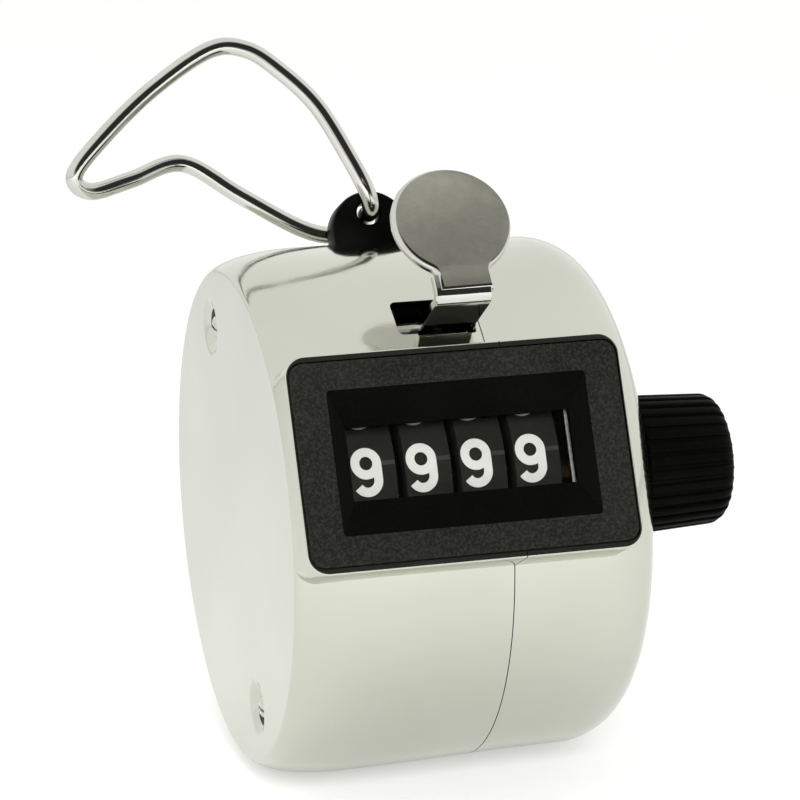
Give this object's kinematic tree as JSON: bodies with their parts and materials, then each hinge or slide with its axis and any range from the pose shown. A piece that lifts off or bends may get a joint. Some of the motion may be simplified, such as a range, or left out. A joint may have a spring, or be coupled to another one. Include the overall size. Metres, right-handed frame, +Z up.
{
  "type": "hand tally counter",
  "caption": "Round chromed hand tally counter with a thumb lever, number wheels behind a window, a ribbed reset knob and a swinging finger ring.",
  "frame": {"origin": "centre of the drum's flat left side face", "axes": "+X along the drum from the left side face to the reset knob; +Z up and -Y to the front with the counter leaning back 25 degrees, so that its window faces forwards and slightly up"},
  "size_m": [0.0497, 0.0467, 0.0599],
  "materials": {
    "chrome": "bright chromed steel",
    "black_plastic": "black moulded plastic with a fine grain",
    "clear_plastic": "clear acrylic",
    "wheel_plastic": "black moulded plastic with white figures",
    "plated_steel": "zinc plated pressed steel",
    "spring_steel": "hardened spring steel",
    "brass": "turned brass"
  },
  "bodies": {
    "case": {"left_case_shell": "chrome", "right_case_shell": "chrome", "window_bezel": "black_plastic", "window_lens": "clear_plastic", "left_frame_plate": "plated_steel", "right_frame_plate": "plated_steel", "upper_rear_spacer": "plated_steel", "lower_rear_spacer": "plated_steel", "detent_bar": "plated_steel", "upper_rear_screw_left": "plated_steel", "upper_rear_screw_right": "plated_steel", "lower_rear_screw_left": "plated_steel", "lower_rear_screw_right": "plated_steel", "detent_bar_screw_left": "plated_steel", "detent_bar_screw_right": "plated_steel", "upper_case_post": "brass", "lower_case_post": "brass", "upper_case_screw": "chrome", "lower_case_screw": "chrome", "left_shaft_bushing": "brass", "right_shaft_bushing": "brass", "detent_comb": "spring_steel", "ring_lug": "black_plastic", "lever_pivot_pin": "plated_steel", "lever_return_spring": "spring_steel"},
    "thumb_lever": {"thumb_lever": "chrome", "drive_comb": "spring_steel", "left_comb_rivet": "plated_steel", "right_comb_rivet": "plated_steel"},
    "reset_shaft": {"reset_shaft": "plated_steel", "reset_knob": "black_plastic", "shaft_retaining_clip": "spring_steel", "left_spacer_sleeve": "brass", "right_spacer_sleeve": "brass"},
    "thousands_wheel": {"thousands_wheel": "wheel_plastic", "thousands_pickup_spring": "spring_steel"},
    "hundreds_wheel": {"hundreds_wheel": "wheel_plastic", "hundreds_pickup_spring": "spring_steel"},
    "tens_wheel": {"tens_wheel": "wheel_plastic", "tens_pickup_spring": "spring_steel"},
    "units_wheel": {"units_wheel": "wheel_plastic", "units_pickup_spring": "spring_steel"},
    "finger_ring": {"finger_ring": "chrome"}
  },
  "joints": [
    {"name": "thumb_press", "type": "hinge", "parent": "case", "child": "thumb_lever", "pos_m": [0.01485, -0.00863, 0.01605], "axis": [-1, 0, 0], "range_deg": [0, 20], "stiffness_Nm_per_rad": 0.06, "springref_deg": -8.59, "deforming": ["lever_return_spring"]},
    {"name": "reset_turn", "type": "hinge", "parent": "case", "child": "reset_shaft", "pos_m": [0.014, -0.01081, 0.00449], "axis": [1, 0, 0], "continuous": true},
    {"name": "thousands_wheel_turn", "type": "hinge", "parent": "reset_shaft", "child": "thousands_wheel", "pos_m": [0.014, -0.01081, 0.00449], "axis": [1, 0, 0], "range_deg": [0, 36]},
    {"name": "hundreds_wheel_turn", "type": "hinge", "parent": "reset_shaft", "child": "hundreds_wheel", "pos_m": [0.014, -0.01081, 0.00449], "axis": [1, 0, 0], "range_deg": [0, 36]},
    {"name": "tens_wheel_turn", "type": "hinge", "parent": "reset_shaft", "child": "tens_wheel", "pos_m": [0.014, -0.01081, 0.00449], "axis": [1, 0, 0], "range_deg": [0, 36]},
    {"name": "units_wheel_turn", "type": "hinge", "parent": "reset_shaft", "child": "units_wheel", "pos_m": [0.014, -0.01081, 0.00449], "axis": [1, 0, 0], "range_deg": [0, 36]},
    {"name": "ring_swing", "type": "hinge", "parent": "case", "child": "finger_ring", "pos_m": [0.01346, 0.00637, 0.02312], "axis": [0, 0.9063, -0.4226], "range_deg": [0, 120]}
  ],
  "couplings": [
    {"joint": "thousands_wheel_turn", "follows": "thumb_press", "ratio": 1.8},
    {"joint": "hundreds_wheel_turn", "follows": "thumb_press", "ratio": 1.8},
    {"joint": "tens_wheel_turn", "follows": "thumb_press", "ratio": 1.8},
    {"joint": "units_wheel_turn", "follows": "thumb_press", "ratio": 1.8}
  ]
}
